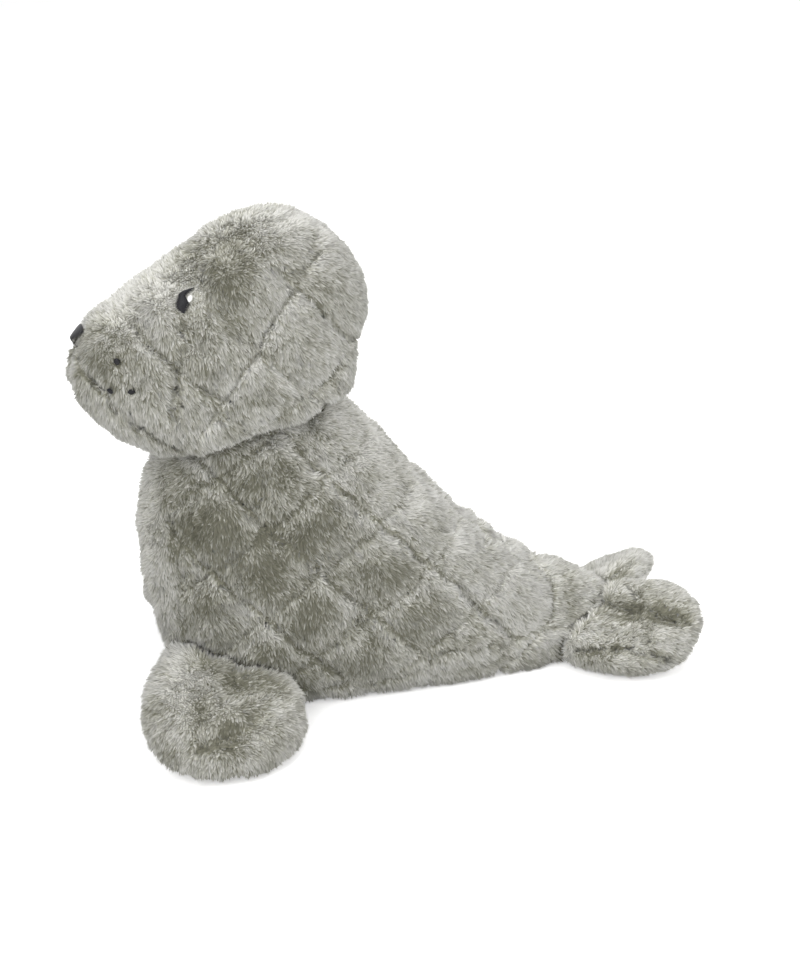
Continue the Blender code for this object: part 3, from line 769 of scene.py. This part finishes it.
for number, (node, folds) in enumerate(zip(SEWN[4:6], TAIL_FOLDS), start=5):
    others = tree_of([other for other in SEWN if other != node])
    paddle = stuffed(node + "_plush", node, FLIPPER_SWELL, no_stitch, others)
    grow_pile(
        paddle, number, FLIPPER_PILE, TAIL_LUMPS, folds, no_stitch, outward_nap(TAIL_ROOT),
        paddle_shade, others, ())
    dress(paddle, node)


# Embroidered face
# Eyes, nose and whisker marks are satin stitch in black rayon thread, laid side by side over
# the clipped plush, with a little white thread in the hollow of each eye.
THREAD_PITCH = 0.42 * MM
THREAD_THICK = 0.30 * MM
THREAD_SEAT = 0.4 * MM
THREAD_HALF_WIDTH = 0.62
ROW_FLATTENED = 0.8
CASTS_FROM = 20.0 * MM
EYE_HEIGHT = 12.6 * MM
EYE_LEAN = math.radians(24.0)
GLINT_SIZE = 3.3 * MM
KNOT_SIZE = 2.8 * MM
NOSE_HEIGHT = 10.2 * MM


def thread_finish(name, color):
    """Glossy embroidery thread."""
    material, shader, start = finish(name, 0.38, 0.0)
    shader.inputs["Base Color"].default_value = color
    return material


black_thread = thread_finish("black thread", (0.012, 0.012, 0.014, 1.0))
white_thread = thread_finish("white thread", (0.82, 0.82, 0.80, 1.0))


def satin(name, node, height, outline, lean, material, rise):
    """Rows of thread over a patch of the head, in the place of its node.

    The outline gives a row's two ends, in mm, for a level from -1 at the foot to 1 at the top.
    """
    low, high = (Vector(corner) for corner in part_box(node))
    middle = 0.5 * (low + high)
    outward = Vector((0.0, 0.0, 0.0))
    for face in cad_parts[node].data.polygons:
        if face.normal.dot(middle - head_middle) > 0.0:
            outward += face.normal * face.area
    outward.normalize()
    across = Vector((0.0, 0.0, 1.0)).cross(outward).normalized()
    up = outward.cross(across)
    seat = Matrix((across, up, outward)).transposed().to_4x4()
    seat = Matrix.Translation(middle) @ seat @ Matrix.Rotation(lean, 4, "Z")
    shape = bmesh.new()
    rows = max(3, round(height / THREAD_PITCH))
    for row in range(rows):
        level = (row + 0.5) / rows * 2.0 - 1.0
        left, right = (end * MM for end in outline(level))
        made = bmesh.ops.create_uvsphere(shape, u_segments=8, v_segments=10, radius=1.0)["verts"]
        for vert in made:
            along, thick = vert.co.z, vert.co.x
            bulge = rise * (1.0 - along ** 2) * math.sqrt(1.0 - ROW_FLATTENED * level * level)
            flat = Vector((
                0.5 * (left + right) + 0.5 * (right - left) * along,
                vert.co.y * THREAD_HALF_WIDTH * THREAD_PITCH + level * 0.5 * height, 0.0))
            start = seat @ (flat + Vector((0.0, 0.0, CASTS_FROM)))
            skin = head_skin.ray_cast(start, -outward)[0] or seat @ flat
            vert.co = skin + outward * (thick * THREAD_THICK + bulge + THREAD_SEAT)
    bmesh.ops.recalc_face_normals(shape, faces=shape.faces)
    piece = skin_object(name, shape)
    piece.data.materials.append(material)
    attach(piece, "root")
    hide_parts(node)


def disc(half):
    """The outline of a round patch."""
    def ends(level):
        reach = half * math.sqrt(1.0 - level * level)
        return -reach, reach
    return ends


def eye_patch(side):
    """A fat crescent, hollowed on the side away from the nose."""
    def ends(level):
        blunt = (2.5, 0.7) if level > 0.0 else (4.0, 0.5)
        outer = 1.4 - 5.8 * (1.0 - abs(level) ** blunt[0]) ** blunt[1]
        inner = 1.4 + (1.0 - level * level) * (1.0 - 3.6 * smoothstep(level, -0.30, 0.30))
        return (outer, inner) if side < 0.0 else (-inner, -outer)
    return ends


def nose_patch(level):
    """A wide triangle, with its point at the foot."""
    reach = 8.0 * (0.5 + 0.5 * level) ** 0.8 * (1.0 - max(0.0, level) ** 6) ** 0.5 + 0.6
    return -reach, reach


head_middle = head_frame @ Vector((-15.0 * MM, 0.0, 30.0 * MM))
head_skin = tree_of(["head"])
for hand, side in (("left", -1.0), ("right", 1.0)):
    lean = side * EYE_LEAN
    satin("eye_satin_" + hand, "eye_stitching_" + hand, EYE_HEIGHT, eye_patch(side), lean,
          black_thread, 0.7 * MM)
    satin("eye_glint_satin_" + hand, "eye_glint_" + hand, GLINT_SIZE, disc(1.2), lean,
          white_thread, 0.3 * MM)
    for number in (1, 2, 3):
        satin(f"whisker_knot_{hand}_{number}", f"whisker_stitch_{hand}_{number}",
              KNOT_SIZE, disc(1.3), 0.5 * number, black_thread, 0.8 * MM)
satin("nose_satin", "nose_stitching", NOSE_HEIGHT, nose_patch, 0.0,
      black_thread, 0.4 * MM)


# Studio
# A pale paper floor that runs off to white, under an even sky and three broad soft lamps.
# The floor lies a little under the toy, so that the two never share a plane.
FLOOR_SIZE = 6.0
FLOOR_DROP = 0.3 * MM
FLOOR_GLOW = 0.42
SKY_LIGHT = 0.72
LAMPS_AIM = (0.0, 0.0, 0.08)

shape = bmesh.new()
bmesh.ops.create_grid(shape, x_segments=1, y_segments=1, size=0.5 * FLOOR_SIZE)
floor = skin_object("floor", shape)
floor.location.z = -FLOOR_DROP
paper, shader, start = finish("white paper", 0.9, 0.0)
shader.inputs["Base Color"].default_value = (0.86, 0.86, 0.86, 1.0)
floor.data.materials.append(paper)


def seen_directly(start):
    """1 for rays that show the background: from the camera, or by a mirror or glass."""
    rays = start.node("ShaderNodeLightPath", "Is Camera Ray", {})
    outputs = rays.link.node.outputs
    for kind in ("Glossy", "Transmission"):
        rays += Socket(start.tree, outputs[f"Is {kind} Ray"])
    return rays.math("MINIMUM", rays, 1.0)


shader.inputs["Emission Color"].default_value = (1.0, 1.0, 1.0, 1.0)
glow = seen_directly(start) * FLOOR_GLOW
paper.node_tree.links.new(glow.link, shader.inputs["Emission Strength"])

world = bpy.data.worlds.new("studio")
bpy.context.scene.world = world
world.use_nodes = True
sky = world.node_tree.nodes["Background"]
sky.inputs["Color"].default_value = (1.0, 1.0, 1.0, 1.0)
brightness = seen_directly(Socket(world.node_tree, None)) * (1.0 - SKY_LIGHT) + SKY_LIGHT
world.node_tree.links.new(brightness.link, sky.inputs["Strength"])


def lamp(name, place, size, power):
    """A square soft lamp that is aimed at the toy."""
    light = bpy.data.lights.new(name, "AREA")
    light.size = size
    light.energy = power
    made = bpy.data.objects.new(name, light)
    bpy.context.scene.collection.objects.link(made)
    way = Vector(LAMPS_AIM) - Vector(place)
    aimed = way.to_track_quat("-Z", "Y").to_matrix().to_4x4()
    made.matrix_world = Matrix.Translation(place) @ aimed


lamp("front lamp", (-0.6, -0.9, 1.0), 0.9, 10.0)
lamp("side lamp", (1.1, -0.6, 0.8), 0.9, 6.0)
lamp("top lamp", (0.3, 0.2, 1.5), 1.0, 12.0)
bpy.context.scene.view_settings.view_transform = "Standard"
